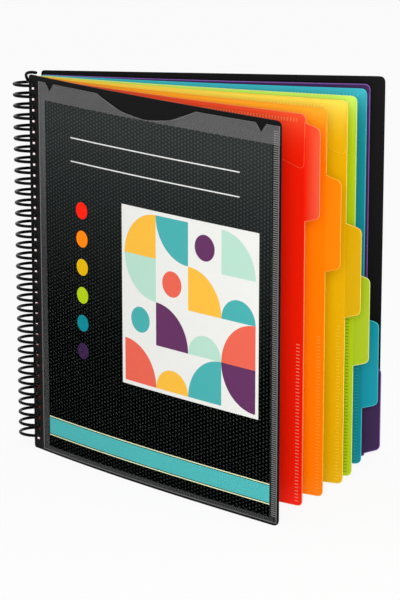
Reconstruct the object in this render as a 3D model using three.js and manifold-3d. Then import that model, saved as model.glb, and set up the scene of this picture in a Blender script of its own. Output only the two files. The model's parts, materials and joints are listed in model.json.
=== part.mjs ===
// A coil-bound project organizer standing fanned open: two covers, six tabbed pocket dividers
// and a zip pouch on one plastic coil. Millimetres, +Z up, the back cover along +X.
import * as THREE from "three";
import { mergeVertices } from "three/addons/utils/BufferGeometryUtils.js";
import Module from "manifold-3d";

const wasm = await Module();
wasm.setup();

// Driving dimensions.
const COVER = { width: 264, height: 298, thickness: 0.9, corner: 5 };
const PAGE = { width: 251, height: 293, thickness: 0.4, corner: 4.5 };
const POUCH = { width: 246, height: 284, thickness: 0.4, corner: 4.5 };
const TAB = {
  base: 71.5, reach: 12, slant: 3.5, round: 3.5, firstDrop: 6.2, step: 42.6, footRound: 1.8,
};
const POCKET = { thickness: 0.2, spineGap: 20, topDrop: 3, edgeInset: 0.4 };
const FLAP = { length: 104, depth: 39, shortDepth: 4, round: 6, edgeInset: 0.6, topDrop: 1.5 };
const COIL = { radius: 13.5, wire: 2, pitch: 25.4 / 3, turns: 34, sides: 5 };
const HOLE = { size: 4.2, margin: 4.5 };
const OVERLAY = {
  spineGap: 12.3, topDrop: 3.7, edgeInset: 0.8, bottomRise: 2, thickness: 0.2,
  rimLeft: 4.7, rimRight: 3.4, rimBottom: 3.5,
};
const NOTCH = { width: 10, depth: 6.3, spineDistance: 25.7, edgeDistance: 18 };
const THUMB = { width: 103, depth: 13 };
const CARD = { spineGap: 19.7, width: 236.5, bottomRise: 6, height: 274.8, thickness: 0.25 };
const ZIP = {
  drop: 32, start: 30, length: 190, tape: 20, tapeThickness: 0.15, chain: 5, chainThickness: 0.5,
  slot: 6, stop: 2,
};
const SLIDER = { length: 9, half: 3.8, wall: 1, plate: 0.4, post: 1.2, postRise: 0.5 };
const PULL = { length: 24, width: 6.5, hole: 1.8, thickness: 0.3 };
const FILM_GAP = 0.1;

// The leaves from front to back: the angle to the back cover, and how far the leaf's
// middle plane lies in front of the coil's axis.
const LEAVES = {
  front_cover: { angle: 39.2, offset: 8 },
  red: { angle: 30.7, offset: 6.2, color: 0xe1190a },
  orange: { angle: 25.1, offset: 4.6, color: 0xff7d00 },
  yellow: { angle: 18, offset: 3, color: 0xe6b400 },
  lime: { angle: 14, offset: 1.4, color: 0xaac81e },
  teal: { angle: 7.5, offset: -0.2, color: 0x148c96 },
  purple: { angle: 3.5, offset: -1.8, color: 0x3c2350 },
  pouch: { angle: 1.6, offset: -5 },
  back_cover: { angle: 0, offset: -8 },
};
const DIVIDERS = ["red", "orange", "yellow", "lime", "teal", "purple"];

// The coil's turns lie flat where leaves travel, and climb in the arc behind the back cover.
const COIL_ARC = { start: 94, flat: 312, climb: 48, station: 24, crimpRadius: 12 };

const degrees = THREE.MathUtils.degToRad;
const firstHole = (COVER.height - (COIL.turns - 1) * COIL.pitch) / 2;
const holeHeights = Array.from({ length: COIL.turns }, (_, turn) => firstHole + turn * COIL.pitch);

const PLASTIC = { roughness: 0.5, metalness: 0 };
const blackPlastic = new THREE.MeshStandardMaterial({ ...PLASTIC, color: 0x191919 });
const clearFilm = new THREE.MeshStandardMaterial({
  ...PLASTIC, color: 0xdfe6e6, transparent: true, opacity: 0.3,
});
const cardboard = new THREE.MeshStandardMaterial({ color: 0x32383a, roughness: 0.7, metalness: 0 });
const zipCloth = new THREE.MeshStandardMaterial({ color: 0x202020, roughness: 0.9, metalness: 0 });
const zipMetal = new THREE.MeshStandardMaterial({ color: 0x8c8c8c, roughness: 0.4, metalness: 1 });

function tinted(color) {
  return new THREE.MeshStandardMaterial({ ...PLASTIC, color, transparent: true, opacity: 0.85 });
}

// Where a leaf's holes ride on the coil, and where its bound edge lies, along the leaf.
function holeCentre(leaf) {
  return Math.sqrt(COIL.radius ** 2 - leaf.offset ** 2);
}

function boundEdge(leaf) {
  return holeCentre(leaf) - HOLE.margin;
}

function bottomOf(sheet) {
  return (COVER.height - sheet.height) / 2;
}

// A flat sheet from an outline drawn along the leaf and up. Its back face lies `depth` in
// front of the coil's axis, and it is `thickness` thick towards the front.
function sheetGeometry(outline, depth, thickness) {
  const geometry = new THREE.ExtrudeGeometry(outline, {
    depth: thickness, bevelEnabled: false, curveSegments: 4,
  });
  geometry.translate(0, 0, depth);
  geometry.rotateX(Math.PI / 2);
  return geometry;
}

function namedMesh(name, geometry, material) {
  const mesh = new THREE.Mesh(geometry, material);
  mesh.name = name;
  return mesh;
}

function solidOf(geometry) {
  const bare = new THREE.BufferGeometry();
  const flat = geometry.index ? geometry.toNonIndexed() : geometry;
  bare.setAttribute("position", flat.getAttribute("position"));
  const merged = mergeVertices(bare, 1e-4);
  return new wasm.Manifold(new wasm.Mesh({
    numProp: 3,
    vertProperties: new Float32Array(merged.attributes.position.array),
    triVerts: new Uint32Array(merged.index.array),
  }));
}

function joined(geometries) {
  const solids = geometries.map(solidOf);
  const mesh = solids.reduce((sum, solid) => sum.add(solid)).getMesh();
  const geometry = new THREE.BufferGeometry();
  geometry.setAttribute("position", new THREE.BufferAttribute(mesh.vertProperties, 3));
  geometry.setIndex(new THREE.BufferAttribute(mesh.triVerts, 1));
  return geometry;
}

// A corner of an outline, cut back by `round` on both sides and curved through.
function roundedCorner(path, from, corner, to, round) {
  const start = corner.clone().lerp(from, round / corner.distanceTo(from));
  const end = corner.clone().lerp(to, round / corner.distanceTo(to));
  path.lineTo(start.x, start.y);
  path.quadraticCurveTo(corner.x, corner.y, end.x, end.y);
}

// A closed outline through corner points, each with its own rounding, 0 for a sharp one.
function roundedOutline(corners) {
  const points = corners.map(([x, y]) => new THREE.Vector2(x, y));
  const path = new THREE.Shape();
  points.forEach((corner, i) => {
    const before = points[(i + points.length - 1) % points.length];
    const after = points[(i + 1) % points.length];
    const round = corners[i][2] ?? 0;
    if (i === 0) path.moveTo(corner.x, corner.y);
    else if (round > 0) roundedCorner(path, before, corner, after, round);
    else path.lineTo(corner.x, corner.y);
  });
  return path;
}

// A square hole for each turn of the coil.
function punch(outline, centre) {
  const half = HOLE.size / 2;
  for (const height of holeHeights) {
    const hole = new THREE.Path();
    hole.moveTo(centre - half, height - half);
    hole.lineTo(centre - half, height + half);
    hole.lineTo(centre + half, height + half);
    hole.lineTo(centre + half, height - half);
    outline.holes.push(hole);
  }
  return outline;
}

// A plain punched sheet with rounded corners, its bound edge's corners rounded on their own.
function boundOutline(leaf, sheet, spineCorner) {
  const inner = boundEdge(leaf);
  const outer = inner + sheet.width;
  const bottom = bottomOf(sheet);
  const top = bottom + sheet.height;
  const outline = roundedOutline([
    [(inner + outer) / 2, bottom],
    [outer, bottom, sheet.corner],
    [outer, top, sheet.corner],
    [inner, top, spineCorner],
    [inner, bottom, spineCorner],
  ]);
  return punch(outline, holeCentre(leaf));
}

function coverMesh(name) {
  const leaf = LEAVES[name];
  const outline = boundOutline(leaf, COVER, COVER.corner / 2);
  const depth = leaf.offset - COVER.thickness / 2;
  return namedMesh(name, sheetGeometry(outline, depth, COVER.thickness), blackPlastic);
}

// The clear pocket on the front cover: a film with a thumb notch and two small notches in
// its top edge, on a raised rim welded to the cover along three sides.
function overlayMesh() {
  const leaf = LEAVES.front_cover;
  const left = boundEdge(leaf) + OVERLAY.spineGap;
  const right = boundEdge(leaf) + COVER.width - OVERLAY.edgeInset;
  const top = COVER.height - OVERLAY.topDrop;
  const bottom = OVERLAY.bottomRise;
  const middle = boundEdge(leaf) + COVER.width / 2;
  const leftNotch = boundEdge(leaf) + NOTCH.spineDistance;
  const rightNotch = boundEdge(leaf) + COVER.width - NOTCH.edgeDistance;

  const film = new THREE.Shape();
  film.moveTo(left, bottom);
  film.lineTo(right, bottom);
  film.lineTo(right, top);
  for (const notch of [rightNotch, middle, leftNotch]) {
    if (notch === middle) {
      film.lineTo(middle + THUMB.width / 2, top);
      film.quadraticCurveTo(middle, top - 2 * THUMB.depth, middle - THUMB.width / 2, top);
    } else {
      film.lineTo(notch + NOTCH.width / 2, top);
      film.lineTo(notch, top - NOTCH.depth);
      film.lineTo(notch - NOTCH.width / 2, top);
    }
  }
  film.lineTo(left, top);

  const rim = new THREE.Shape();
  rim.moveTo(left, bottom);
  rim.lineTo(right, bottom);
  rim.lineTo(right, top);
  rim.lineTo(right - OVERLAY.rimRight, top);
  rim.lineTo(right - OVERLAY.rimRight, bottom + OVERLAY.rimBottom);
  rim.lineTo(left + OVERLAY.rimLeft, bottom + OVERLAY.rimBottom);
  rim.lineTo(left + OVERLAY.rimLeft, top);
  rim.lineTo(left, top);

  const face = leaf.offset + COVER.thickness / 2;
  const filmDepth = face + CARD.thickness + 2 * FILM_GAP;
  const rimHeight = filmDepth + OVERLAY.thickness - (face + FILM_GAP);
  const geometry = joined([
    sheetGeometry(film, filmDepth, OVERLAY.thickness),
    sheetGeometry(rim, face + FILM_GAP, rimHeight),
  ]);
  return namedMesh("cover_overlay", geometry, clearFilm);
}

function cardMesh() {
  const leaf = LEAVES.front_cover;
  const left = boundEdge(leaf) + CARD.spineGap;
  const outline = roundedOutline([
    [left, CARD.bottomRise],
    [left + CARD.width, CARD.bottomRise],
    [left + CARD.width, CARD.bottomRise + CARD.height],
    [left, CARD.bottomRise + CARD.height],
  ]);
  const depth = leaf.offset + COVER.thickness / 2 + FILM_GAP;
  return namedMesh("insert_card", sheetGeometry(outline, depth, CARD.thickness), cardboard);
}

// A divider sheet with its index tab, `place` steps down the free edge.
function dividerOutline(leaf, place) {
  const inner = boundEdge(leaf);
  const outer = inner + PAGE.width;
  const bottom = bottomOf(PAGE);
  const top = bottom + PAGE.height;
  const tabTop = top - TAB.firstDrop - place * TAB.step;
  const tabBottom = tabTop - TAB.base;
  const footRound = tabBottom > bottom + PAGE.corner ? PAGE.corner : TAB.footRound;
  const outline = roundedOutline([
    [inner, bottom],
    [outer, bottom, footRound],
    [outer, tabBottom],
    [outer + TAB.reach, tabBottom + TAB.slant, TAB.round],
    [outer + TAB.reach, tabTop - TAB.slant, TAB.round],
    [outer, tabTop],
    [outer, top, PAGE.corner],
    [inner, top],
  ]);
  return punch(outline, holeCentre(leaf));
}

// A pocket panel over the whole divider but its bound strip.
function pocketOutline(leaf) {
  const inner = boundEdge(leaf);
  const bottom = bottomOf(PAGE);
  const right = inner + PAGE.width - POCKET.edgeInset;
  const top = bottom + PAGE.height - POCKET.topDrop;
  return roundedOutline([
    [inner + POCKET.spineGap, bottom + POCKET.edgeInset],
    [right, bottom + POCKET.edgeInset, PAGE.corner],
    [right, top, PAGE.corner],
    [inner + POCKET.spineGap, top],
  ]);
}

// The corner flap that keeps papers in: deep at the free edge, running out along the top.
function flapOutline(leaf) {
  const right = boundEdge(leaf) + PAGE.width - FLAP.edgeInset;
  const left = right - FLAP.length;
  const top = bottomOf(PAGE) + PAGE.height - FLAP.topDrop;
  return roundedOutline([
    [left, top],
    [left, top - FLAP.shortDepth],
    [right, top - FLAP.depth, FLAP.round],
    [right, top, PAGE.corner],
  ]);
}

function dividerMeshes(name, place) {
  const leaf = LEAVES[name];
  const plastic = tinted(leaf.color);
  const face = PAGE.thickness / 2;
  const frontPocket = leaf.offset + face + FILM_GAP;
  const backPocket = leaf.offset - face - FILM_GAP - POCKET.thickness;
  const flap = frontPocket + POCKET.thickness + FILM_GAP;
  const panel = pocketOutline(leaf);
  const base = sheetGeometry(dividerOutline(leaf, place), leaf.offset - face, PAGE.thickness);
  return [
    namedMesh(`${name}_divider`, base, plastic),
    namedMesh(`${name}_front_pocket`, sheetGeometry(panel, frontPocket, POCKET.thickness), plastic),
    namedMesh(`${name}_back_pocket`, sheetGeometry(panel, backPocket, POCKET.thickness), plastic),
    namedMesh(`${name}_flap`, sheetGeometry(flapOutline(leaf), flap, POCKET.thickness), plastic),
  ];
}

function rectangle(left, bottom, width, height) {
  return roundedOutline([
    [left, bottom],
    [left + width, bottom],
    [left + width, bottom + height],
    [left, bottom + height],
  ]);
}

// The zip's slider: a channel over the teeth with a post for the pull.
function sliderGeometry(start, height, chainDepth) {
  const outside = SLIDER.half;
  const inside = SLIDER.half - SLIDER.wall;
  const under = chainDepth + ZIP.chainThickness + FILM_GAP;
  const over = under + SLIDER.plate;
  const channel = roundedOutline([
    [height - outside, chainDepth],
    [height - inside, chainDepth],
    [height - inside, under],
    [height + inside, under],
    [height + inside, chainDepth],
    [height + outside, chainDepth],
    [height + outside, over],
    [height - outside, over],
  ]);
  const body = new THREE.ExtrudeGeometry(channel, { depth: SLIDER.length, bevelEnabled: false });
  const up = new THREE.Vector3(0, 0, 1);
  const front = new THREE.Vector3(0, -1, 0);
  const along = new THREE.Vector3(1, 0, 0);
  body.applyMatrix4(new THREE.Matrix4().makeBasis(up, front, along));
  body.translate(start, 0, 0);
  const postOutline = new THREE.Shape();
  postOutline.absarc(start + SLIDER.length / 2, height, SLIDER.post, 0, 2 * Math.PI);
  const sunk = SLIDER.plate / 2;
  const post = sheetGeometry(postOutline, over - sunk, sunk + SLIDER.postRise);
  return joined([body, post]);
}

function pullOutline(centre, height) {
  const half = PULL.width / 2;
  const outline = roundedOutline([
    [centre, height - half],
    [centre + half, height - half, half / 2],
    [centre + half, height + half, half / 2],
    [centre + half - PULL.length, height + half, half / 2],
    [centre + half - PULL.length, height - half, half / 2],
  ]);
  const hole = new THREE.Path();
  hole.absarc(centre, height, PULL.hole, 0, 2 * Math.PI, true);
  outline.holes.push(hole);
  return outline;
}

// The zip pouch: a bound back sheet, a front film with a slot, and the zip across the slot.
function pouchMeshes() {
  const leaf = LEAVES.pouch;
  const inner = boundEdge(leaf);
  const bottom = bottomOf(POUCH);
  const zipHeight = bottom + POUCH.height - ZIP.drop;
  const chainStart = inner + ZIP.start;
  const chainEnd = chainStart + ZIP.length;

  const back = boundOutline(leaf, POUCH, 0);
  const front = rectangle(
    inner + POCKET.spineGap, bottom + POCKET.edgeInset,
    POUCH.width - POCKET.spineGap - POUCH.corner, POUCH.height - 2 * POCKET.edgeInset,
  );
  const slot = new THREE.Path();
  slot.moveTo(chainStart, zipHeight - ZIP.slot / 2);
  slot.lineTo(chainStart, zipHeight + ZIP.slot / 2);
  slot.lineTo(chainEnd, zipHeight + ZIP.slot / 2);
  slot.lineTo(chainEnd, zipHeight - ZIP.slot / 2);
  front.holes.push(slot);

  const filmDepth = leaf.offset + POUCH.thickness / 2 + FILM_GAP;
  const tapeDepth = filmDepth + POCKET.thickness + FILM_GAP;
  const chainDepth = tapeDepth + ZIP.tapeThickness + FILM_GAP;
  const sliderStart = chainEnd - SLIDER.length;
  const pullDepth = chainDepth + ZIP.chainThickness + SLIDER.plate + 2 * FILM_GAP;

  const tape = rectangle(
    chainStart - 2 * ZIP.stop, zipHeight - ZIP.tape / 2, ZIP.length + 4 * ZIP.stop, ZIP.tape,
  );
  const chain = rectangle(chainStart, zipHeight - ZIP.chain / 2, ZIP.length, ZIP.chain);
  const stopOutline = (left) =>
    rectangle(left, zipHeight - ZIP.chain / 2, ZIP.stop - FILM_GAP, ZIP.chain);
  const pull = pullOutline(sliderStart + SLIDER.length / 2, zipHeight);
  const stopGeometry = (left) => sheetGeometry(stopOutline(left), chainDepth, 2 * ZIP.chainThickness);

  return [
    namedMesh("pouch_back", sheetGeometry(back, leaf.offset - POUCH.thickness / 2, POUCH.thickness),
      clearFilm),
    namedMesh("pouch_front", sheetGeometry(front, filmDepth, POCKET.thickness), clearFilm),
    namedMesh("zip_tape", sheetGeometry(tape, tapeDepth, ZIP.tapeThickness), zipCloth),
    namedMesh("zip_teeth", sheetGeometry(chain, chainDepth, ZIP.chainThickness), zipCloth),
    namedMesh("zip_slider", sliderGeometry(sliderStart, zipHeight, chainDepth), zipMetal),
    namedMesh("zip_pull", sheetGeometry(pull, pullDepth, PULL.thickness), zipMetal),
    namedMesh("zip_inner_stop", stopGeometry(chainStart - ZIP.stop), zipMetal),
    namedMesh("zip_outer_stop", stopGeometry(chainEnd + FILM_GAP), zipMetal),
  ];
}

// The coil's centre line by angle: flat turns joined by climbs, its two ends bent inwards.
class CoilLine extends THREE.Curve {
  constructor() {
    super();
    this.first = COIL_ARC.start - COIL_ARC.station;
    this.last = COIL_ARC.start + (COIL.turns - 1) * 360 + COIL_ARC.flat + COIL_ARC.station;
    this.stations = (this.last - this.first) / COIL_ARC.station;
  }

  getPoint(t, target = new THREE.Vector3()) {
    const angle = this.first + t * (this.last - this.first);
    const turn = Math.floor((angle - COIL_ARC.start) / 360);
    const past = angle - COIL_ARC.start - turn * 360 - COIL_ARC.flat;
    const climbed = turn + Math.max(0, past) / COIL_ARC.climb;
    const height = THREE.MathUtils.clamp(climbed, 0, COIL.turns - 1) * COIL.pitch;
    const endGap = Math.min(angle - this.first, this.last - angle) / COIL_ARC.station;
    const radius = THREE.MathUtils.lerp(COIL_ARC.crimpRadius, COIL.radius, Math.min(1, endGap));
    const turned = degrees(angle);
    return target.set(radius * Math.cos(turned), radius * Math.sin(turned), firstHole + height);
  }

  getPointAt(t, target) {
    return this.getPoint(t, target);
  }

  getTangentAt(t, target) {
    return this.getTangent(t, target);
  }
}

function coilMesh() {
  const section = new THREE.Shape();
  for (let side = 0; side < COIL.sides; side += 1) {
    const turned = (side / COIL.sides) * 2 * Math.PI;
    const x = (COIL.wire / 2) * Math.cos(turned);
    const y = (COIL.wire / 2) * Math.sin(turned);
    if (side === 0) section.moveTo(x, y);
    else section.lineTo(x, y);
  }
  const line = new CoilLine();
  const geometry = new THREE.ExtrudeGeometry(section, { steps: line.stations, extrudePath: line });
  return namedMesh("binding_coil", geometry, blackPlastic);
}

// Each leaf's meshes in a group turned about the coil's axis.
function turnedLeaf(leaf, meshes) {
  const group = new THREE.Group();
  group.add(...meshes);
  group.rotation.z = -degrees(leaf.angle);
  return group;
}

const organizer = new THREE.Group();
organizer.add(
  coilMesh(),
  turnedLeaf(LEAVES.front_cover, [coverMesh("front_cover"), overlayMesh(), cardMesh()]),
  ...DIVIDERS.map((name, place) => turnedLeaf(LEAVES[name], dividerMeshes(name, place))),
  turnedLeaf(LEAVES.pouch, pouchMeshes()),
  turnedLeaf(LEAVES.back_cover, [coverMesh("back_cover")]),
);

// The origin is the middle of the footprint, on the surface that the covers stand on.
const bounds = new THREE.Box3().setFromObject(organizer, true);
const middle = bounds.getCenter(new THREE.Vector3());
organizer.position.set(-middle.x, -middle.y, -bounds.min.z);

export default organizer;
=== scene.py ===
"""A coil-bound project organizer standing fanned open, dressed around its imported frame.

Metres, +Z up. Lengths on a leaf are written in millimetres: `u` runs along the leaf from the
coil's axis, `z` up, and `w` out of the leaf's middle plane towards its front.
"""
import json
import math

import bmesh
import bpy
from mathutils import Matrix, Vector


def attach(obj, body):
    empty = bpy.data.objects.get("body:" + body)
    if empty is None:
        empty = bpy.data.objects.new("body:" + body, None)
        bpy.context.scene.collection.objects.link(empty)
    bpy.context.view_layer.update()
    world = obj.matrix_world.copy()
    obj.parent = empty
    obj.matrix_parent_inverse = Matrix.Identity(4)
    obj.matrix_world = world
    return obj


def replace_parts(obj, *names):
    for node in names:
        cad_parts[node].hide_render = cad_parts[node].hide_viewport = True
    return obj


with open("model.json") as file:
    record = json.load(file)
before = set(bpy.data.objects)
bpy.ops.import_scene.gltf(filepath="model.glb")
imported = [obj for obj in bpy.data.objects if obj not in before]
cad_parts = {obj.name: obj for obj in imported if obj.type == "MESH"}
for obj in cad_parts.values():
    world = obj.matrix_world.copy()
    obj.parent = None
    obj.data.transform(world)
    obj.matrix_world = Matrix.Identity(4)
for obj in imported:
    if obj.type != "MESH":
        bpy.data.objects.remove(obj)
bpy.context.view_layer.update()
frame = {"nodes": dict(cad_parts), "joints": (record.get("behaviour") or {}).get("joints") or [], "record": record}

MM = 0.001

# Millimetres in one unit of the leaves' UV map.
CHART = 100

# Sizes shared with the CAD, in millimetres.
COVER = {"width": 264, "height": 298}
PAGE = {"width": 251, "height": 293, "corner": 4.5, "thickness": 0.4}
TAB = {
    "base": 71.5, "reach": 12, "slant": 3.5, "round": 3.5, "first_drop": 6.2, "step": 42.6,
    "foot_round": 1.8,
}
POCKET = {"thickness": 0.2, "gap": 0.1, "spine_gap": 20, "top_drop": 3, "edge_inset": 0.4}
FLAP = {"length": 104, "depth": 39, "short_depth": 4, "round": 6, "edge_inset": 0.6, "top_drop": 1.5}
COIL = {"radius": 13.5, "pitch": 25.4 / 3, "turns": 34, "hole_margin": 4.5}
OVERLAY = {
    "spine_gap": 12.3, "top_drop": 3.7, "edge_inset": 0.8, "bottom_rise": 2, "middle": 1, "front": 1.1,
}
NOTCH = {"width": 10, "depth": 6.3, "spine_distance": 25.7, "edge_distance": 18}
THUMB = {"width": 103, "depth": 13}
CARD = {"spine_gap": 19.7, "width": 236.5, "bottom_rise": 6, "height": 274.8, "front": 0.8}
POUCH = {"width": 246, "height": 284, "corner": 4.5, "front": 0.5}
ZIP = {
    "drop": 32, "start": 30, "length": 190, "tape_width": 20, "tape_length": 198, "tape_front": 0.75,
    "chain": 5, "chain_back": 0.85, "chain_front": 1.35,
}

# How far each leaf's middle plane lies in front of the coil's axis, from back to front.
LEAF_OFFSETS = {
    "back_cover": -8, "pouch": -5, "purple": -1.8, "teal": -0.2, "lime": 1.4,
    "yellow": 3, "orange": 4.6, "red": 6.2, "front_cover": 8,
}
DIVIDERS = ["red", "orange", "yellow", "lime", "teal", "purple"]

# The soft outward bow of the leaves between the coil and the free edge. A lean below 1 draws its
# crest towards the coil, and past_end is the share of the way at which it stops.
BOW = {"height": 4, "start": 12, "end": 262, "cuts": 26, "lean": 0.85, "past_end": 1.2}

# Radii of the beads along the cut edges of the sheets, whose pale colour on the dividers and pouch
# is a painted highlight.
BEAD = {"divider": 0.42, "pocket": 0.13, "flap": 0.2, "film": 0.18, "film_rim": 0.45, "pouch": 0.35}
# How far the film's rim lies inside the film's outline, and the flap's bead before the flap's middle.
FILM_RIM_INSET = 0.5
FLAP_BEAD_LEAD = 0.04

# Rows of weld bars: each bar's length and thickness, how far apart and how proud they are, how far
# they lie inside the sheet's edge, and how far the row stays from the sheet's two ends.
DIVIDER_WELD = {
    "length": 3, "bar": 0.8, "pitch": 2.6, "proud": 0.1, "inset": 3, "start": 3, "end": 170,
}
FLAP_WELD = {
    "length": 2.6, "bar": 0.9, "pitch": 2.6, "proud": 0.1, "inset": 3.4, "start": 163, "end": 6,
}
FILM_SIDE_WELD = {
    "length": 4.2, "bar": 0.65, "pitch": 1.6, "proud": 0.14, "inset": 1.2, "start": 5, "end": 3,
}
FILM_FOOT_WELD = {
    "length": 2.4, "bar": 0.65, "pitch": 1.6, "proud": 0.14, "inset": 1.2, "start": 3, "end": 4,
}
POUCH_WELD = {
    "length": 3.5, "bar": 0.8, "pitch": 2.6, "proud": 0.1, "inset": 6, "start": 4, "end": 4,
}

# How the coil is drawn: its filament, where each turn climbs to the next, its drawn-in foot and the
# hook at its head. Step, start, end and turn are degrees around its axis, and the rest millimetres.
FILAMENT = {"thickness": 2.4, "step": 9.5, "tilt": 0.9, "sides": 10}
CLIMB = {"start": 48, "end": 97}
FOOT_BEND = {"start": 26, "turn": 20, "draw": 1.2}
HEAD_HOOK = {"start": 2, "turn": 244, "dip": 11, "rise": 2.5, "lift": 10.9}

# The dots on the card's ground, and the heights on the leaf between which that ground pales.
DOTS = {"pitch_along": 6.4, "pitch_up": 1.47, "radius": 0.72}
GROUND_GLOW = {"start": 75, "end": 270}
# The shapes printed on the card, in millimetres from its lower left corner, and how thick ink lies.
INK_LAYER = 0.02
PANEL = {"left": 90, "foot": 74, "border": 3, "tile": 33, "columns": 4, "rows": 4, "colours": 5}
BAND = {"foot": 10.5, "height": 13, "margin": 0.4, "line": 0.8, "line_gap": 0.6}
KEY_DOTS = {"left": 42, "head": 196, "pitch": 22, "radius": 6.5}
RULES = {"left": 30, "length": 176, "thickness": 0.9, "heights": (232, 250)}

# The zip's teeth and stitches. Teeth reach over the middle by a share of half the chain's width.
TOOTH = {"pitch": 1.25, "width": 1.05, "overlap": 0.35, "end_gap": 1.5}
STITCH = {"length": 2.2, "width": 0.5, "proud": 0.15, "pitch": 3.2, "from_middle": 8, "lead": 2}
METAL_BEVEL = {"width": 0.12, "segments": 2}

# The studio, in metres, degrees and watts. The camera is measured from the photograph.
CAMERA = {
    "place": (0.2032, -1.9082, 0.654), "turn": 5.8, "tilt": 14.93, "lens": 159.66, "sensor": 36,
}
LAMP_TARGET = (0, 0, 0.15)
LAMPS = {
    "key": {"place": (0.25, -2, 0.75), "size": 1, "power": 29},
    "fill": {"place": (1.3, -1.3, 0.9), "size": 1.2, "power": 8},
}
WORLD_FILL = 0.62
FLOOR = {"reach": 8, "drop": 0.0005, "white": 0.9}
WHITE = (1, 1, 1, 1)


def srgb(red, green, blue):
    """A display colour from 0 to 255, as linear light."""
    def linear(value):
        share = value / 255
        return share / 12.92 if share <= 0.04045 else ((share + 0.055) / 1.055) ** 2.4
    return (linear(red), linear(green), linear(blue), 1)


# Each divider's colours: its sheet and the sheet's head, paler as painted light from above, its
# single-layer tab where it starts and where it ends, paler than the sheet as painted light shining
# through it, its cut edges and its flap's edge, pale as a painted highlight, and its weld bars.
TINTS = {
    "red": {
        "page": srgb(255, 29, 4), "head": srgb(255, 96, 54), "tab_root": srgb(255, 44, 16),
        "tab": srgb(255, 110, 76), "edge": srgb(255, 140, 90), "flap": srgb(255, 104, 64),
        "weld": srgb(255, 130, 110),
    },
    "orange": {
        "page": srgb(255, 132, 0), "head": srgb(255, 196, 52), "tab_root": srgb(255, 150, 8),
        "tab": srgb(255, 154, 8), "edge": srgb(255, 188, 54), "flap": srgb(255, 166, 44),
        "weld": srgb(255, 152, 46),
    },
    "yellow": {
        "page": srgb(224, 178, 0), "head": srgb(255, 240, 96), "tab_root": srgb(224, 186, 2),
        "tab": srgb(228, 190, 6), "edge": srgb(255, 226, 90), "flap": srgb(242, 204, 44),
        "weld": srgb(238, 198, 42),
    },
    "lime": {
        "page": srgb(174, 202, 16), "head": srgb(206, 246, 112), "tab_root": srgb(180, 206, 34),
        "tab": srgb(186, 212, 40), "edge": srgb(230, 246, 140), "flap": srgb(198, 220, 66),
        "weld": srgb(132, 164, 10),
    },
    "teal": {
        "page": srgb(0, 132, 146), "head": srgb(68, 190, 208), "tab_root": srgb(8, 152, 172),
        "tab": srgb(12, 162, 182), "edge": srgb(70, 205, 220), "flap": srgb(36, 168, 186),
        "weld": srgb(28, 154, 168),
    },
    "purple": {
        "page": srgb(52, 26, 68), "head": srgb(62, 36, 86), "tab_root": srgb(58, 32, 78),
        "tab": srgb(62, 36, 82), "edge": srgb(150, 100, 190), "flap": srgb(92, 60, 122),
        "weld": srgb(84, 56, 108),
    },
}

# Where painted light from above starts and stops paling the dividers towards their heads, in
# millimetres up, and how steeply.
HEAD_PAINTED_LIGHT = {"start": 243, "end": 298, "power": 4}
# The same for the painted reflection that pales the film beside the spine towards its head, evenly.
FILM_PAINTED_REFLECTION = {"start": 160, "end": 285}


# Shader building.

class Shader:
    """A node tree under construction, of a material or of the world."""

    def __init__(self, owner):
        owner.use_nodes = True
        self.owner = owner
        self.tree = owner.node_tree
        self.tree.nodes.clear()

    def add(self, kind, inputs=None, **properties):
        """A new node with its properties set, and its inputs set or linked."""
        node = self.tree.nodes.new(kind)
        for key, value in properties.items():
            setattr(node, key, value)
        for key, value in (inputs or {}).items():
            if isinstance(value, bpy.types.NodeSocket):
                self.tree.links.new(value, node.inputs[key])
            else:
                node.inputs[key].default_value = value
        return node

    def math(self, operation, first, second=0.0, third=0.0):
        node = self.add("ShaderNodeMath", {0: first, 1: second, 2: third}, operation=operation)
        return node.outputs[0]

    def blend(self, factor, first, second):
        """A colour between two, by a factor from 0 to 1."""
        node = self.add("ShaderNodeMix", {0: factor, 6: first, 7: second}, data_type="RGBA")
        return node.outputs[2]

    def noise(self, scale, detail=2.0, stretch=(1, 1, 1)):
        """Noise in the piece's own coordinates."""
        place = self.add("ShaderNodeTexCoord").outputs["Object"]
        turned = self.add("ShaderNodeMapping", {"Vector": place, "Scale": stretch})
        texture = self.add(
            "ShaderNodeTexNoise",
            {"Vector": turned.outputs[0], "Scale": scale, "Detail": detail},
        )
        return texture.outputs["Fac"]

    def between(self, value, low, high):
        """A 0 to 1 value spread from low to high."""
        node = self.add("ShaderNodeMapRange", {"Value": value, "To Min": low, "To Max": high})
        return node.outputs[0]

    def ramp(self, value, low, high):
        """A value that goes from 0 at low to 1 at high."""
        node = self.add("ShaderNodeMapRange", {"Value": value, "From Min": low, "From Max": high})
        return node.outputs[0]

    def leaf_place(self):
        """How far along the leaf and how far up a point lies, in units of the UV map."""
        place = self.add("ShaderNodeUVMap", uv_map="leaf").outputs[0]
        axes = self.add("ShaderNodeSeparateXYZ", {0: place})
        return axes.outputs[0], axes.outputs[1]

    def ramp_along(self, start, end):
        """A value that goes from 0 to 1 between two places along the leaf."""
        along, _ = self.leaf_place()
        return self.ramp(along, start / CHART, end / CHART)

    def ramp_up(self, start, end):
        """A value that goes from 0 to 1 between two heights on the leaf."""
        _, height = self.leaf_place()
        return self.ramp(height, start / CHART, end / CHART)

    def bump(self, height, strength, distance):
        node = self.add(
            "ShaderNodeBump", {"Height": height, "Strength": strength, "Distance": distance},
        )
        return node.outputs[0]

    def seen(self):
        """1 for rays from the camera, in reflections and through clear pieces, and else 0."""
        rays = self.add("ShaderNodeLightPath").outputs
        shown = self.math("MAXIMUM", rays["Is Camera Ray"], rays["Is Glossy Ray"])
        return self.math("MAXIMUM", shown, rays["Is Transmission Ray"])

    def done(self, surface, output="ShaderNodeOutputMaterial"):
        self.add(output, {"Surface": surface})
        return self.owner


def new_material(name):
    return Shader(bpy.data.materials.new(name))


def shaded(color, amount):
    """A colour made darker or lighter by a share."""
    return tuple(channel * amount for channel in color[:3]) + (1,)


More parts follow.
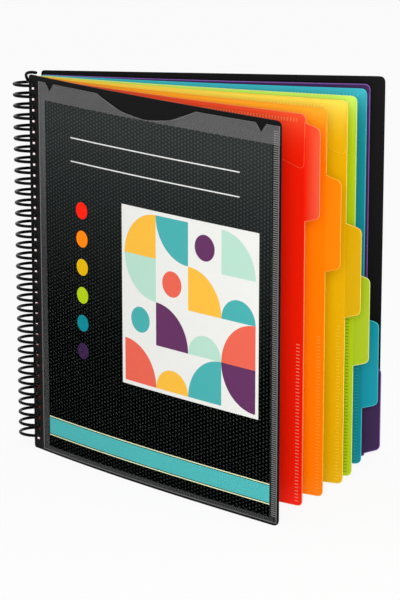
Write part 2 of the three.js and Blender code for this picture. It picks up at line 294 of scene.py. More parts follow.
def moulded_plastic(name, color, gloss, grain, specular):
    """Dark plastic: a fine pebbled grain and a slightly uneven gloss."""
    shader = new_material(name)
    cloud = shader.noise(18)
    pebble = shader.noise(grain, detail=3)
    tone = shader.blend(cloud, shaded(color, 0.85), shaded(color, 1.2))
    body = shader.add("ShaderNodeBsdfPrincipled", {
        "Base Color": tone,
        "Roughness": shader.between(pebble, gloss - 0.06, gloss + 0.08),
        "Specular IOR Level": specular,
        "Normal": shader.bump(pebble, strength=0.25, distance=0.0002),
    })
    return shader.done(body.outputs[0])


def tinted_sheet(name, color, through=0.12, root=None, head=None):
    """Translucent tinted plastic with faint vertical streaks of painted reflection.

    `root` is a second colour and the two places along the leaf between which it fades out.
    `head` is the colour that the sheet pales to at its head, painted as light from above.
    """
    shader = new_material(name)
    # Faint vertical streaks of painted reflection.
    painted_reflection_streaks = shader.noise(30, stretch=(1, 1, 0.12))
    fine = shader.noise(1400)
    tone = shader.blend(painted_reflection_streaks, shaded(color, 0.92), shaded(color, 1.06))
    if root:
        root_color, start, end = root
        tone = shader.blend(shader.ramp_along(start, end), root_color, tone)
    # The sheet pales towards its head as painted light from above.
    if head:
        rise = shader.ramp_up(HEAD_PAINTED_LIGHT["start"], HEAD_PAINTED_LIGHT["end"])
        tone = shader.blend(shader.math("POWER", rise, HEAD_PAINTED_LIGHT["power"]), tone, head)
    face = shader.add("ShaderNodeBsdfPrincipled", {
        "Base Color": tone,
        "Roughness": shader.between(fine, 0.30, 0.42),
        "Specular IOR Level": 0.22,
        "Normal": shader.bump(fine, strength=0.12, distance=0.0001),
    })
    glow = shader.add("ShaderNodeBsdfTranslucent", {"Color": tone})
    mixed = shader.add(
        "ShaderNodeMixShader", {0: through, 1: face.outputs[0], 2: glow.outputs[0]},
    )
    return shader.done(mixed.outputs[0])


def clear_film(name, color, cover, roughness, painted_reflection_color=None):
    """Clear plastic film that hides a share of what lies under it, with a painted reflection that pales it towards
    its head if asked.
    """
    shader = new_material(name)
    if painted_reflection_color:
        rise = shader.ramp_up(FILM_PAINTED_REFLECTION["start"], FILM_PAINTED_REFLECTION["end"])
        color = shader.blend(rise, color, painted_reflection_color)
    ripple = shader.noise(45)
    film = shader.add("ShaderNodeBsdfPrincipled", {
        "Base Color": color,
        "Roughness": roughness,
        "Specular IOR Level": 0.35,
        "Alpha": shader.between(ripple, 0.8 * cover, 1.2 * cover),
        "Normal": shader.bump(ripple, strength=0.15, distance=0.0003),
    })
    return shader.done(film.outputs[0])


def printed_card(name):
    """Dark coated card: rows of small staggered dots on a ground that fades to black."""
    shader = new_material(name)
    along, height = shader.leaf_place()
    row = shader.math("DIVIDE", height, DOTS["pitch_up"] / CHART)
    odd = shader.math("MODULO", shader.math("FLOOR", row), 2)
    column = shader.math("DIVIDE", along, DOTS["pitch_along"] / CHART)
    staggered = shader.math("MULTIPLY_ADD", odd, 0.5, column)

    def from_middle(count, pitch):
        """How far a point lies from the middle of its cell, in millimetres."""
        return shader.math("MULTIPLY", shader.math("SUBTRACT", shader.math("FRACT", count), 0.5), pitch)

    across = from_middle(staggered, DOTS["pitch_along"])
    up = from_middle(row, DOTS["pitch_up"])
    squares = shader.math("MULTIPLY_ADD", across, across, shader.math("MULTIPLY", up, up))
    dot = shader.ramp(shader.math("SQRT", squares), 1.2 * DOTS["radius"], 0.7 * DOTS["radius"])
    rise = shader.ramp_up(GROUND_GLOW["start"], GROUND_GLOW["end"])
    fade = shader.math("MULTIPLY", rise, rise)
    ground = shader.blend(fade, srgb(1, 2, 2), srgb(44, 48, 47))
    speck = shader.blend(fade, srgb(45, 49, 46), srgb(72, 76, 75))
    paper = shader.noise(600, detail=3)
    face = shader.add("ShaderNodeBsdfPrincipled", {
        "Base Color": shader.blend(dot, ground, speck),
        "Roughness": shader.between(paper, 0.5, 0.62),
        "Specular IOR Level": 0.0,
        "Normal": shader.bump(paper, strength=0.1, distance=0.0001),
    })
    return shader.done(face.outputs[0])


def printed_ink(name, color):
    """A flat printed colour with the paper's tooth showing through."""
    shader = new_material(name)
    paper = shader.noise(500, detail=3)
    face = shader.add("ShaderNodeBsdfPrincipled", {
        "Base Color": shader.blend(paper, shaded(color, 0.95), shaded(color, 1.03)),
        "Roughness": shader.between(paper, 0.5, 0.6),
        "Specular IOR Level": 0.06,
    })
    return shader.done(face.outputs[0])


def woven_tape(name):
    """Black zip tape: a close diagonal weave."""
    shader = new_material(name)
    place = shader.add("ShaderNodeUVMap", uv_map="leaf").outputs[0]
    slanted = shader.add("ShaderNodeMapping", {
        "Vector": place, "Rotation": (0, 0, math.radians(35)),
    })
    weave = shader.add("ShaderNodeTexWave", {
        "Vector": slanted.outputs[0], "Scale": 38, "Distortion": 1.2, "Detail": 2,
    }).outputs["Fac"]
    face = shader.add("ShaderNodeBsdfPrincipled", {
        "Base Color": shader.blend(weave, srgb(14, 14, 15), srgb(44, 44, 46)),
        "Roughness": 0.9,
        "Specular IOR Level": 0.2,
        "Sheen Weight": 0.2,
        "Normal": shader.bump(weave, strength=0.6, distance=0.0002),
    })
    return shader.done(face.outputs[0])


def zip_metal(name):
    """Plated zip metal with brushed scratches."""
    shader = new_material(name)
    brushed = shader.noise(240, detail=4, stretch=(1, 1, 7))
    face = shader.add("ShaderNodeBsdfPrincipled", {
        "Base Color": shader.blend(brushed, srgb(120, 120, 122), srgb(176, 176, 178)),
        "Metallic": 1.0,
        "Roughness": shader.between(brushed, 0.26, 0.46),
    })
    return shader.done(face.outputs[0])


def floor_paint(name):
    """Matte pale paint that looks white to the camera and keeps a soft shadow."""
    shader = new_material(name)
    grain = shader.noise(40)
    matte = shader.add("ShaderNodeBsdfDiffuse", {
        "Color": shader.blend(grain, shaded(WHITE, 0.86), shaded(WHITE, 0.9)),
    })
    white = shader.add("ShaderNodeEmission", {"Color": WHITE, "Strength": 1.0})
    share = shader.math("MULTIPLY", shader.seen(), FLOOR["white"])
    mixed = shader.add("ShaderNodeMixShader", {0: share, 1: matte.outputs[0], 2: white.outputs[0]})
    return shader.done(mixed.outputs[0])


# Leaves.

class Leaf:
    """One bound sheet: where it lies beside the coil, which way it runs and faces, and its bow."""

    def __init__(self, name, angle, axis):
        turned = math.radians(angle)
        self.axis = axis
        self.along = Vector((math.cos(turned), -math.sin(turned), 0))
        self.front = Vector((-math.sin(turned), -math.cos(turned), 0))
        self.offset = LEAF_OFFSETS[name]
        self.bound = math.sqrt(COIL["radius"] ** 2 - self.offset ** 2) - COIL["hole_margin"]
        self.bowed = name not in ("back_cover", "pouch")

    def flat(self, u, z, w):
        """A point of the flat leaf, in the frame's metres."""
        level = self.axis + MM * (u * self.along + (self.offset + w) * self.front)
        return Vector((level.x, level.y, z * MM))

    def rise(self, u):
        """How far the bowed leaf stands out to its front at u."""
        share = (u - BOW["start"]) / (BOW["end"] - BOW["start"])
        if share <= 0 or not self.bowed:
            return 0
        return BOW["height"] * math.sin(math.pi * min(share, BOW["past_end"]) ** BOW["lean"])

    def point(self, u, z, w):
        """A point of the bowed leaf."""
        return self.flat(u, z, w) + MM * self.rise(u) * self.front

    def along_of(self, place):
        """How far along the leaf a point lies."""
        return (place - self.axis).dot(self.along) / MM


def made_leaves():
    """The leaves of the frame. Each joint's low limit closes its leaf on the one behind it."""
    turns = {joint["child"]: joint for joint in frame["joints"] if joint["name"].endswith("_turn")}
    axis = Vector(turns["pouch"]["pos_m"])
    axis.z = 0
    leaves = {}
    angle = 0
    for name in LEAF_OFFSETS:
        if name in turns:
            angle -= turns[name]["range_deg"][0]
        leaves[name] = Leaf(name, angle, axis)
    return leaves


# Meshes and pieces.

def cut(bm, place, normal):
    """Cuts a mesh where a plane crosses it."""
    everything = bm.verts[:] + bm.edges[:] + bm.faces[:]
    bmesh.ops.bisect_plane(bm, geom=everything, plane_co=place, plane_no=normal)


def bend(bm, leaf):
    """Cuts a flat mesh across the leaf, then moves it out by the leaf's bow."""
    if leaf.bowed:
        step = (BOW["end"] - BOW["start"]) / BOW["cuts"]
        for i in range(BOW["cuts"] + 1):
            cut(bm, leaf.flat(BOW["start"] + i * step, 0, 0), leaf.along)
    for vertex in bm.verts:
        vertex.co += MM * leaf.rise(leaf.along_of(vertex.co)) * leaf.front


def smooth(bm, crisp=35):
    """Smooth faces that stay crisp where they meet at more than `crisp` degrees."""
    for face in bm.faces:
        face.smooth = True
    for edge in bm.edges:
        if len(edge.link_faces) == 2 and edge.calc_face_angle(0) > math.radians(crisp):
            edge.smooth = False


def chart(bm, leaf):
    """A UV map along the leaf and up."""
    layer = bm.loops.layers.uv.new("leaf")
    for face in bm.faces:
        for loop in face.loops:
            place = loop.vert.co
            loop[layer].uv = (leaf.along_of(place) / CHART, place.z / MM / CHART)


def made_piece(name, bm, materials, body):
    """Turns a mesh under construction into a piece that rides on a body."""
    mesh = bpy.data.meshes.new(name)
    bm.to_mesh(mesh)
    bm.free()
    for material in materials:
        mesh.materials.append(material)
    piece = bpy.data.objects.new(name, mesh)
    bpy.context.scene.collection.objects.link(piece)
    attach(piece, body)
    return piece


def body_of(node):
    """The CAD body that holds a node."""
    bodies = frame["record"]["behaviour"]["bodies"]
    return next(body for body, members in bodies.items() if node in members)


def slot_of(node):
    """The record's material slot of a node."""
    subparts = frame["record"]["subparts"]
    return next(part["material_slot"] for part in subparts if part["node"] == node)


def paint(node, material):
    """Gives a carried-over CAD node its only material."""
    node.data.materials.clear()
    node.data.materials.append(material)


class Zones:
    """Where a sheet changes material: cut lines along the leaf and up, and a rule."""

    def __init__(self, cuts_u, cuts_z, index):
        self.cuts_u = cuts_u
        self.cuts_z = cuts_z
        self.index = index

    def mark(self, bm, leaf):
        """Cuts a flat sheet where its material changes."""
        for u in self.cuts_u:
            cut(bm, leaf.flat(u, 0, 0), leaf.along)
        for z in self.cuts_z:
            cut(bm, Vector((0, 0, z * MM)), Vector((0, 0, 1)))


def bowed_sheet(node, leaf, materials, zones=None):
    """A bowed copy of a CAD sheet, in one material or in zones."""
    bm = bmesh.new()
    bm.from_mesh(frame["nodes"][node].data)
    bmesh.ops.remove_doubles(bm, verts=bm.verts[:], dist=0.01 * MM)
    if zones:
        zones.mark(bm, leaf)
    bend(bm, leaf)
    for face in bm.faces:
        centre = face.calc_center_median()
        face.material_index = zones.index(leaf.along_of(centre), centre.z / MM) if zones else 0
    bm.normal_update()
    smooth(bm)
    chart(bm, leaf)
    piece = made_piece(f"{node}_look", bm, materials, body_of(node))
    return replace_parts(piece, node)


# Outlines on a leaf, as lists of (u, z).

def curve(start, pull, end, steps):
    """A curve from start to end that bends towards a third point."""
    shares = [step / steps for step in range(steps + 1)]
    return [tuple(start.lerp(pull, share).lerp(pull.lerp(end, share), share)) for share in shares]


def rounded(corners, steps=5):
    """A path through corners (u, z, round), each cut back by `round` and curved through."""
    path = []
    for i, (u, z, *cut_back) in enumerate(corners):
        if not cut_back:
            path.append((u, z))
            continue
        corner = Vector((u, z))
        before = Vector(corners[i - 1][:2])
        after = Vector(corners[i + 1][:2])
        start = corner.lerp(before, cut_back[0] / (corner - before).length)
        end = corner.lerp(after, cut_back[0] / (corner - after).length)
        path += curve(start, corner, end, steps)
    return path


def divided(path, longest=7):
    """The same path with no step longer than `longest`."""
    points = [path[0]]
    for start, end in zip(path, path[1:]):
        count = max(1, math.ceil(math.dist(start, end) / longest))
        for step in range(1, count + 1):
            share = step / count
            points.append(tuple(a + share * (b - a) for a, b in zip(start, end)))
    return points


def page_box(leaf):
    """The free edge, foot and head of a divider's sheet."""
    foot = (COVER["height"] - PAGE["height"]) / 2
    return leaf.bound + PAGE["width"], foot, foot + PAGE["height"]


def divider_edge(leaf, place):
    """The free edge of a divider with its tab, `place` steps down, from foot to head."""
    outer, foot, head = page_box(leaf)
    tab_top = head - TAB["first_drop"] - place * TAB["step"]
    tab_bottom = tab_top - TAB["base"]
    foot_round = PAGE["corner"] if tab_bottom > foot + PAGE["corner"] else TAB["foot_round"]
    return rounded([
        (leaf.bound, foot),
        (outer, foot, foot_round),
        (outer, tab_bottom),
        (outer + TAB["reach"], tab_bottom + TAB["slant"], TAB["round"]),
        (outer + TAB["reach"], tab_top - TAB["slant"], TAB["round"]),
        (outer, tab_top),
        (outer, head, PAGE["corner"]),
        (leaf.bound, head),
    ])


def pocket_mouth(leaf):
    """The top edge of a divider's pocket and the corner at its free end."""
    outer, _, head = page_box(leaf)
    right = outer - POCKET["edge_inset"]
    top = head - POCKET["top_drop"]
    return rounded([
        (right, top - 3 * PAGE["corner"]),
        (right, top, PAGE["corner"]),
        (leaf.bound + POCKET["spine_gap"], top),
    ])


def flap_edge(leaf):
    """The free edges of a divider's corner flap."""
    outer, _, head = page_box(leaf)
    right = outer - FLAP["edge_inset"]
    top = head - FLAP["top_drop"]
    return rounded([
        (right - FLAP["length"], top - FLAP["short_depth"]),
        (right, top - FLAP["depth"], FLAP["round"]),
        (right, top - PAGE["corner"]),
    ])


def film_box(leaf):
    """The left, right, foot and head of the front cover's film."""
    left = leaf.bound + OVERLAY["spine_gap"]
    right = leaf.bound + COVER["width"] - OVERLAY["edge_inset"]
    return left, right, OVERLAY["bottom_rise"], COVER["height"] - OVERLAY["top_drop"]


def film_mouth(leaf):
    """The top edge of the front cover's film, with its thumb notch and two small notches."""
    left, right, _, top = film_box(leaf)
    middle = leaf.bound + COVER["width"] / 2
    thumb_left = Vector((middle - THUMB["width"] / 2, top))
    thumb_low = Vector((middle, top - 2 * THUMB["depth"]))
    thumb_right = Vector((middle + THUMB["width"] / 2, top))
    return [
        (left, top),
        *notch(leaf.bound + NOTCH["spine_distance"], top),
        *curve(thumb_left, thumb_low, thumb_right, 16),
        *notch(leaf.bound + COVER["width"] - NOTCH["edge_distance"], top),
        (right, top),
    ]


def notch(middle, top):
    half = NOTCH["width"] / 2
    return [(middle - half, top), (middle, top - NOTCH["depth"]), (middle + half, top)]


def film_rim(leaf):
    """The film's three welded edges, from head to head."""
    left, right, foot, head = film_box(leaf)
    left += FILM_RIM_INSET
    right -= FILM_RIM_INSET
    foot += FILM_RIM_INSET
    return [(left, head), (left, foot), (right, foot), (right, head)]


# Tubes, bars and printed plates.

def tube(bm, points, radius, sides, dome=0.7):
    """A round tube along points. Its ends reach out and narrow by a share of the radius."""
    rings = []
    normal = (points[1] - points[0]).orthogonal().normalized()
    for i, point in enumerate(points):
        ahead = points[min(i + 1, len(points) - 1)] - points[max(i - 1, 0)]
        ahead.normalize()
        normal = (normal - normal.dot(ahead) * ahead).normalized()
        other = ahead.cross(normal)
        tip = dome * radius
        if i == 0:
            rings.append(ring(bm, point - tip * ahead, normal, other, tip, sides))
        rings.append(ring(bm, point, normal, other, radius, sides))
        if i == len(points) - 1:
            rings.append(ring(bm, point + tip * ahead, normal, other, tip, sides))
    for low, high in zip(rings, rings[1:]):
        for side in range(sides):
            after = (side + 1) % sides
            bm.faces.new((low[side], low[after], high[after], high[side]))
    bm.faces.new(rings[0][::-1])
    bm.faces.new(rings[-1])


def ring(bm, centre, normal, other, radius, sides):
    turns = [2 * math.pi * side / sides for side in range(sides)]
    return [
        bm.verts.new(centre + radius * (math.cos(turn) * normal + math.sin(turn) * other))
        for turn in turns
    ]


def edge_bead(name, leaf, path, w, radius, material, body):
    """The rounded cut edge of a sheet, along a path on the leaf; its pale colour on the dividers and the pouch is
    a painted highlight.
    """
    bm = bmesh.new()
    points = [leaf.point(u, z, w) for u, z in divided(path)]
    tube(bm, points, radius * MM, 6)
    for face in bm.faces:
        face.smooth = True
    return made_piece(name, bm, [material], body)


def block(bm, leaf, low, high, bevel=0.25):
    """A bar on a leaf from (u, z, w) low to high, its front face drawn in on all sides."""
    inset = bevel * min(high[0] - low[0], high[1] - low[1])
    levels = [(low[2], 0), (high[2], inset)]
    corners = []
    for w, drawn in levels:
        left, right = low[0] + drawn, high[0] - drawn
        foot, head = low[1] + drawn, high[1] - drawn
        around = [(left, foot), (right, foot), (right, head), (left, head)]
        corners.append([bm.verts.new(leaf.point(u, z, w)) for u, z in around])
    back, front = corners
    bm.faces.new(back[::-1])
    bm.faces.new(front)
    for i in range(4):
        after = (i + 1) % 4
        bm.faces.new((back[i], back[after], front[after], front[i]))


def row_of_bars(name, leaf, bars, material, body):
    """A row of short raised bars, each from (u, z, w) low to high."""
    bm = bmesh.new()
    for low, high in bars:
        block(bm, leaf, low, high)
    bmesh.ops.recalc_face_normals(bm, faces=bm.faces[:])
    return made_piece(name, bm, [material], body)


def steps_between(first, last, pitch):
    count = int((last - first) / pitch)
    return [first + i * pitch for i in range(count + 1)]


def bars_up(weld, edge, foot, head, front):
    """Weld bars one above the other, inside a sheet's free edge."""
    right = edge - weld["inset"]
    return [
        ((right - weld["length"], z, front), (right, z + weld["bar"], front + weld["proud"]))
        for z in steps_between(foot + weld["start"], head - weld["end"], weld["pitch"])
    ]


def bars_along(weld, left, right, low, front):
    """Weld bars side by side, standing on a height."""
    return [
        ((u, low, front), (u + weld["bar"], low + weld["length"], front + weld["proud"]))
        for u in steps_between(left + weld["start"], right - weld["end"], weld["pitch"])
    ]


def disc(centre, radius, start=0, end=360, steps=28):
    """A disc or a pie piece of one, as an outline."""
    turns = [math.radians(start + (end - start) * i / steps) for i in range(steps + 1)]
    arc = [(centre[0] + radius * math.cos(t), centre[1] + radius * math.sin(t)) for t in turns]
    return arc[:-1] if end - start == 360 else arc + [centre]


def oblong(left, foot, width, height):
    right, head = left + width, foot + height
    return [(left, foot), (right, foot), (right, head), (left, head)]


def printed_plates(name, leaf, shapes, inks, layer=0):
    """Flat printed shapes on the card, each an outline on the card and an ink's number.

    `layer` is how many layers of ink lie under them.
    """
    bm = bmesh.new()
    left = leaf.bound + CARD["spine_gap"]
    back = CARD["front"] + layer * INK_LAYER
    for outline, ink in shapes:
        points = [(left + x, CARD["bottom_rise"] + y) for x, y in outline]
        rear = [bm.verts.new(leaf.flat(u, z, back)) for u, z in points]
        fore = [bm.verts.new(leaf.flat(u, z, back + INK_LAYER)) for u, z in points]
        faces = [bm.faces.new(rear[::-1]), bm.faces.new(fore)]
        for i in range(len(points)):
            after = (i + 1) % len(points)
            faces.append(bm.faces.new((rear[i], rear[after], fore[after], fore[i])))
        for face in faces:
            face.material_index = ink
    bmesh.ops.recalc_face_normals(bm, faces=bm.faces[:])
    bmesh.ops.triangulate(bm, faces=[face for face in bm.faces if len(face.verts) > 4])
    bend(bm, leaf)
    return made_piece(name, bm, inks, "insert")


# The organizer's parts.

def dress_covers(leaves):
    black = moulded_plastic("cover_plastic", srgb(11, 11, 11), gloss=0.46, grain=900, specular=0.06)
    bowed_sheet("front_cover", leaves["front_cover"], [black])
    paint(frame["nodes"]["back_cover"], black)


def dress_overlay(leaf):
    """The film pocket: clear over the card, hazy over the bare cover around it."""
    clear = clear_film("film_over_card", srgb(30, 31, 31), cover=0.01, roughness=0.12)
    hazy = clear_film("film_over_cover", srgb(106, 105, 106), cover=0.45, roughness=0.3)
    weld = clear_film("film_weld", srgb(36, 36, 37), cover=0.45, roughness=0.35)
    # The film beside the spine pales towards its head as a painted reflection.
    spine = clear_film(
        "film_spine_weld_painted_reflection", srgb(54, 54, 56), cover=0.45, roughness=0.35, painted_reflection_color=srgb(112, 112, 114),
    )
    card_left = leaf.bound + CARD["spine_gap"]
    card_right = card_left + CARD["width"]
    card_foot = CARD["bottom_rise"]
    card_head = card_foot + CARD["height"]

    def zone(u, z):
        if z > card_head:
            return 1
        if z < card_foot or u > card_right:
            return 2
        return 0 if u > card_left else 3

    zones = Zones([card_left, card_right], [card_foot, card_head], zone)
    bowed_sheet("cover_overlay", leaf, [clear, hazy, weld, spine], zones)


def dress_overlay_edges(leaf):
    """The film's mouth, its raised rim and the rows of weld bars beside and under the card."""
    # The side weld ribs are paler than the foot's as a painted highlight.
    side_rib = moulded_plastic("film_side_rib_painted_highlight", srgb(122, 122, 122), gloss=0.4, grain=500, specular=0.1)
    foot_rib = moulded_plastic("film_foot_rib", srgb(66, 66, 66), gloss=0.4, grain=500, specular=0.1)
    rim = moulded_plastic("film_rim", srgb(98, 98, 99), gloss=0.4, grain=500, specular=0.1)
    body, slot = body_of("cover_overlay"), slot_of("cover_overlay")
    middle, front = OVERLAY["middle"], OVERLAY["front"]
    edge_bead("overlay_mouth", leaf, film_mouth(leaf), middle, BEAD["film"], rim, body)
    edge_bead("overlay_rim", leaf, film_rim(leaf), front, BEAD["film_rim"], rim, body)
    left, right, foot, head = film_box(leaf)
    side = bars_up(FILM_SIDE_WELD, right, foot, head, front)
    base = bars_along(FILM_FOOT_WELD, left, right, foot + FILM_FOOT_WELD["inset"], front)
    row_of_bars("overlay_side_weld", leaf, side, side_rib, body)
    row_of_bars("overlay_foot_weld", leaf, base, foot_rib, body)


def tile_shapes():
    """Quarter discs, half discs and dots in a grid, in turn, each with an ink's number."""
    tile = PANEL["tile"]
    shapes = []
    for row in range(PANEL["rows"]):
        for column in range(PANEL["columns"]):
            x = PANEL["left"] + column * tile
            y = PANEL["foot"] + row * tile
            kinds = [
                disc((x, y), tile, 0, 90),
                disc((x + tile, y + tile), tile, 180, 270),
                disc((x + tile / 2, y), tile / 2, 0, 180),
                disc((x + tile / 2, y + tile / 2), 0.3 * tile),
                disc((x + tile, y), tile, 90, 180),
            ]
            ink = 1 + (column + 2 * row) % PANEL["colours"]
            shapes.append((kinds[(2 * column + 3 * row) % len(kinds)], ink))
    return shapes


def band_shapes():
    """A broad band across the card in the first ink, between two thin lines in the second."""
    margin = BAND["margin"]
    width = CARD["width"] - 2 * margin
    low_line = BAND["foot"] - BAND["line_gap"] - BAND["line"]
    high_line = BAND["foot"] + BAND["height"] + BAND["line_gap"]
    return [
        (oblong(margin, BAND["foot"], width, BAND["height"]), 0),
        (oblong(margin, low_line, width, BAND["line"]), 1),
        (oblong(margin, high_line, width, BAND["line"]), 1),
    ]


def panel_shape():
    border = PANEL["border"]
    width = PANEL["columns"] * PANEL["tile"] + 2 * border
    height = PANEL["rows"] * PANEL["tile"] + 2 * border
    return oblong(PANEL["left"] - border, PANEL["foot"] - border, width, height)


def dress_card(leaf):
    """The card: a dotted ground, a bare band, a panel of plain tiles and a row of colour dots."""
    bowed_sheet("insert_card", leaf, [printed_card("card_ground")])
    inks = [
        printed_ink("ink_white", srgb(226, 226, 222)),
        printed_ink("ink_coral", srgb(226, 98, 78)),
        printed_ink("ink_mustard", srgb(240, 182, 62)),
        printed_ink("ink_teal", srgb(70, 168, 168)),
        printed_ink("ink_plum", srgb(96, 48, 92)),
        printed_ink("ink_mint", srgb(176, 214, 196)),
    ]
    band_inks = [
        printed_ink("ink_band", srgb(76, 178, 178)),
        printed_ink("ink_pale", srgb(232, 236, 190)),
    ]
    key_inks = [printed_ink(f"ink_key_{name}", TINTS[name]["page"]) for name in DIVIDERS]
    key_dots = [
        (disc((KEY_DOTS["left"], KEY_DOTS["head"] - i * KEY_DOTS["pitch"]), KEY_DOTS["radius"]), i)
        for i in range(len(DIVIDERS))
    ]
    rules = [
        (oblong(RULES["left"], height, RULES["length"], RULES["thickness"]), 0)
        for height in RULES["heights"]
    ]
    printed_plates("card_panel", leaf, [(panel_shape(), 0)], inks)
    printed_plates("card_tiles", leaf, tile_shapes(), inks, layer=1)
    printed_plates("card_band", leaf, band_shapes(), band_inks)
    printed_plates("card_colour_key", leaf, key_dots, key_inks)
    printed_plates("card_title_rules", leaf, rules, inks)


def divider_looks(name, outer):
    """A divider's materials, by their use."""
    tint = TINTS[name]
    # The tab pales from the sheet's colour at its root as painted light shining through the single layer.
    root = (tint["tab_root"], outer, outer + TAB["reach"])
    return {
        # Sheets and tabs pale towards their heads as painted light from above.
        "page": tinted_sheet(f"{name}_sheet", tint["page"], head=tint["head"]),
        "tab": tinted_sheet(f"{name}_single_sheet_painted_light", tint["tab"], through=0.3, root=root, head=tint["head"]),
        # Cut edges and the flap's edge are paler than the sheet as a painted highlight.
        "edge": tinted_sheet(f"{name}_cut_edge", tint["edge"], through=0.35),
        "flap": tinted_sheet(f"{name}_flap_cut_edge", tint["flap"], through=0.35),
        "weld": tinted_sheet(f"{name}_weld_bar", tint["weld"], through=0.2),
    }


def dress_divider(name, place, leaf):
    """A divider: tabbed sheet, two pocket panels, corner flap, cut edges paled by a painted highlight, and welds.
    """
    outer, foot, head = page_box(leaf)
    looks = divider_looks(name, outer)
    zones = Zones([outer], [], lambda u, z: 1 if u > outer else 0)
    bowed_sheet(f"{name}_divider", leaf, [looks["page"], looks["tab"]], zones)
    for layer in ("front_pocket", "back_pocket", "flap"):
        bowed_sheet(f"{name}_{layer}", leaf, [looks["page"]])

    film = POCKET["thickness"]
    pocket = (PAGE["thickness"] + film) / 2 + POCKET["gap"]
    flap = pocket + film + POCKET["gap"]
    flap_body = body_of(f"{name}_flap")
    sheet_edge, mouth, lip = divider_edge(leaf, place), pocket_mouth(leaf), flap_edge(leaf)
    lip_place = flap + FLAP_BEAD_LEAD
    edge_bead(f"{name}_edge", leaf, sheet_edge, 0, BEAD["divider"], looks["edge"], name)
    edge_bead(f"{name}_front_mouth", leaf, mouth, pocket, BEAD["pocket"], looks["edge"], name)
    edge_bead(f"{name}_back_mouth", leaf, mouth, -pocket, BEAD["pocket"], looks["edge"], name)
    edge_bead(f"{name}_flap_edge", leaf, lip, lip_place, BEAD["flap"], looks["flap"], flap_body)

    side = bars_up(DIVIDER_WELD, outer, foot, head, pocket + film / 2)
    hinge_foot = head - FLAP_WELD["inset"] - FLAP_WELD["length"]
    hinge = bars_along(FLAP_WELD, leaf.bound, outer, hinge_foot, flap + film / 2)
    row_of_bars(f"{name}_side_weld", leaf, side, looks["weld"], name)
    # The flap's weld bars take the cut edges' painted highlight colour.
    row_of_bars(f"{name}_flap_weld", leaf, hinge, looks["edge"], flap_body)


def eased(share):
    """A share from 0 to 1 that starts and ends gently."""
    held = min(1, max(0, share))
    return held * held * (3 - 2 * held)


def coil_line():
    """The coil's centre line, upwards: rings that climb to the next behind the leaves' reach.

    Each ring tilts no further than the leaves' holes allow, so that they swing on it freely.
    """
    last_ring = COIL["turns"] - 1
    first_hole = (COVER["height"] - last_ring * COIL["pitch"]) / 2
    start = CLIMB["start"] + FOOT_BEND["start"]
    hook_start = CLIMB["start"] + HEAD_HOOK["start"] + 360 * COIL["turns"]
    end = hook_start + HEAD_HOOK["turn"]
    count = round((end - start) / FILAMENT["step"])
    points = []
    for i in range(count + 1):
        angle = start + (end - start) * i / count
        turned = math.radians(angle)
        turns, past = divmod(angle - CLIMB["start"], 360)
        climbed = min(turns - 1 + eased(past / (CLIMB["end"] - CLIMB["start"])), last_ring)
        foot = max(0, 1 - (angle - start) / FOOT_BEND["turn"])
        head = max(0, angle - hook_start) / HEAD_HOOK["turn"]
        around = math.sin(math.pi * head)
        radius = COIL["radius"] - FOOT_BEND["draw"] * foot ** 2 - HEAD_HOOK["dip"] * around
        height = first_hole + COIL["pitch"] * climbed
        height -= FILAMENT["tilt"] * math.sin(turned) * (1 - head)
        height += HEAD_HOOK["rise"] * around + HEAD_HOOK["lift"] * eased(2 * head - 1)
        points.append(Vector((radius * math.cos(turned), radius * math.sin(turned), height)))
    return points


def dress_coil(leaf):
    gloss = moulded_plastic("coil_plastic", srgb(2, 2, 2), gloss=0.24, grain=700, specular=0.05)
    bm = bmesh.new()
    points = [leaf.axis + MM * point for point in coil_line()]
    tube(bm, points, FILAMENT["thickness"] / 2 * MM, FILAMENT["sides"])
    for face in bm.faces:
        face.smooth = len(face.verts) == 4
    piece = made_piece("binding_coil_look", bm, [gloss], "coil")
    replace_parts(piece, "binding_coil")


def pouch_box(leaf):
    """The free edge, foot and head of the zip pouch."""
    foot = (COVER["height"] - POUCH["height"]) / 2
    return leaf.bound + POUCH["width"], foot, foot + POUCH["height"]


def dress_pouch(leaf):
    """The zip pouch: hazy films with a cut edge and a row of welds down the free side, both paled by a painted
    highlight.
    """
    film = clear_film("pouch_film", srgb(206, 210, 210), cover=0.22, roughness=0.25)
    # Its cut edge and side welds are paler and denser than the film as a painted highlight.
    edge = clear_film("pouch_cut_edge", srgb(222, 226, 226), cover=0.7, roughness=0.3)
    bowed_sheet("pouch_back", leaf, [film])
    bowed_sheet("pouch_front", leaf, [film])
    outer, foot, head = pouch_box(leaf)
    rim = rounded([
        (leaf.bound, foot),
        (outer, foot, POUCH["corner"]),
        (outer, head, POUCH["corner"]),
        (leaf.bound, head),
    ])
    bars = bars_up(POUCH_WELD, outer, foot, head, POUCH["front"])
    edge_bead("pouch_edge", leaf, rim, 0, BEAD["pouch"], edge, "pouch")
    row_of_bars("pouch_side_weld", leaf, bars, edge, "pouch")


def zip_teeth(first, height):
    """Teeth along the chain, in turn from below and from above its middle."""
    half = ZIP["chain"] / 2
    reach = (1 + TOOTH["overlap"]) * half
    last = first + ZIP["length"] - TOOTH["end_gap"]
    teeth = []
    for i, u in enumerate(steps_between(first, last, TOOTH["pitch"])):
        low = height - half if i % 2 else height - TOOTH["overlap"] * half
        back = (u, low, ZIP["chain_back"])
        front = (u + TOOTH["width"], low + reach, ZIP["chain_front"])
        teeth.append((back, front))
    return teeth


def zip_stitches(first, height):
    """A row of stitches below the chain and one above it."""
    half = STITCH["width"] / 2
    front = ZIP["tape_front"]
    return [
        ((u, row - half, front), (u + STITCH["length"], row + half, front + STITCH["proud"]))
        for row in (height - STITCH["from_middle"], height + STITCH["from_middle"])
        for u in steps_between(first - STITCH["lead"], first + ZIP["length"], STITCH["pitch"])
    ]


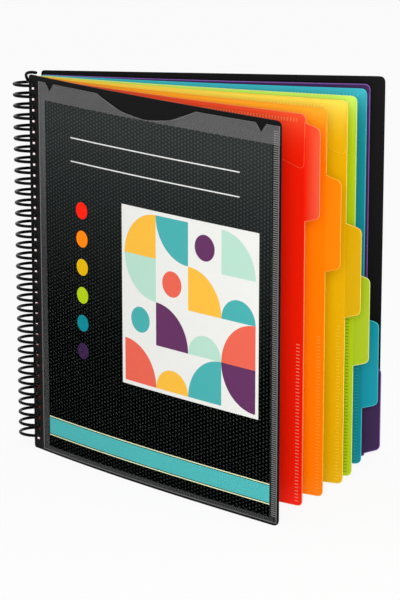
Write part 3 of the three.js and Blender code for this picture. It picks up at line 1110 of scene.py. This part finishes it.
def dress_zip(leaf):
    """The pouch's zip: woven tape with two rows of stitches, moulded teeth and plated metal."""
    metal = zip_metal("zip_plate")
    nylon = moulded_plastic("zip_nylon_black", srgb(26, 26, 27), gloss=0.35, grain=700, specular=0.4)
    thread = moulded_plastic("zip_thread", srgb(70, 70, 72), gloss=0.7, grain=1500, specular=0.1)
    tape = bowed_sheet("zip_tape", leaf, [woven_tape("zip_weave")])
    for name in ("zip_slider", "zip_pull", "zip_inner_stop", "zip_outer_stop"):
        node = frame["nodes"][name]
        paint(node, metal)
        bevel = node.modifiers.new("soft_edges", "BEVEL")
        bevel.width = METAL_BEVEL["width"] * MM
        bevel.segments = METAL_BEVEL["segments"]
        bevel.limit_method = "ANGLE"

    _, _, head = pouch_box(leaf)
    height = head - ZIP["drop"]
    first = leaf.bound + ZIP["start"]
    teeth = zip_teeth(first, height)
    piece = row_of_bars("zip_teeth_look", leaf, teeth, nylon, "pouch")
    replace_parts(piece, "zip_teeth")
    stitches = zip_stitches(first, height)
    seams = row_of_bars("zip_stitches", leaf, stitches, thread, "pouch")


def dress_organizer():
    leaves = made_leaves()
    dress_covers(leaves)
    dress_overlay(leaves["front_cover"])
    dress_overlay_edges(leaves["front_cover"])
    dress_card(leaves["front_cover"])
    for place, name in enumerate(DIVIDERS):
        dress_divider(name, place, leaves[name])
    dress_coil(leaves["back_cover"])
    dress_pouch(leaves["pouch"])
    dress_zip(leaves["pouch"])


# Studio.

def make_world():
    """White to the camera and in reflections, and a softer even light on the object."""
    shader = Shader(bpy.data.worlds.new("studio_white"))
    strength = shader.between(shader.seen(), WORLD_FILL, 1)
    sky = shader.add("ShaderNodeBackground", {"Color": WHITE, "Strength": strength})
    bpy.context.scene.world = shader.done(sky.outputs[0], "ShaderNodeOutputWorld")


def make_floor():
    bm = bmesh.new()
    bmesh.ops.create_grid(bm, x_segments=2, y_segments=2, size=FLOOR["reach"])
    mesh = bpy.data.meshes.new("floor")
    bm.to_mesh(mesh)
    bm.free()
    mesh.materials.append(floor_paint("floor_pale"))
    floor = bpy.data.objects.new("floor", mesh)
    bpy.context.scene.collection.objects.link(floor)
    floor.location.z = -FLOOR["drop"]


def aimed(name, data, place, look):
    """An object in the scene that faces along `look`."""
    holder = bpy.data.objects.new(name, data)
    bpy.context.scene.collection.objects.link(holder)
    holder.location = place
    holder.rotation_mode = "QUATERNION"
    holder.rotation_quaternion = look.to_track_quat("-Z", "Y")
    return holder


def make_lamp(name, place, size, power):
    lamp = bpy.data.lights.new(name, "AREA")
    lamp.shape = "DISK"
    lamp.size = size
    lamp.energy = power
    aimed(name, lamp, place, Vector(LAMP_TARGET) - Vector(place))


def make_camera():
    camera = bpy.data.cameras.new("camera")
    camera.sensor_fit = "VERTICAL"
    camera.sensor_height = CAMERA["sensor"]
    camera.lens = CAMERA["lens"]
    turn, tilt = math.radians(CAMERA["turn"]), math.radians(CAMERA["tilt"])
    level = math.cos(tilt)
    look = Vector((-math.sin(turn) * level, math.cos(turn) * level, -math.sin(tilt)))
    bpy.context.scene.camera = aimed("camera", camera, CAMERA["place"], look)


def make_studio():
    make_camera()
    make_world()
    make_floor()
    for name, lamp in LAMPS.items():
        make_lamp(name, **lamp)
    bpy.context.scene.view_settings.view_transform = "Standard"


make_studio()
dress_organizer()
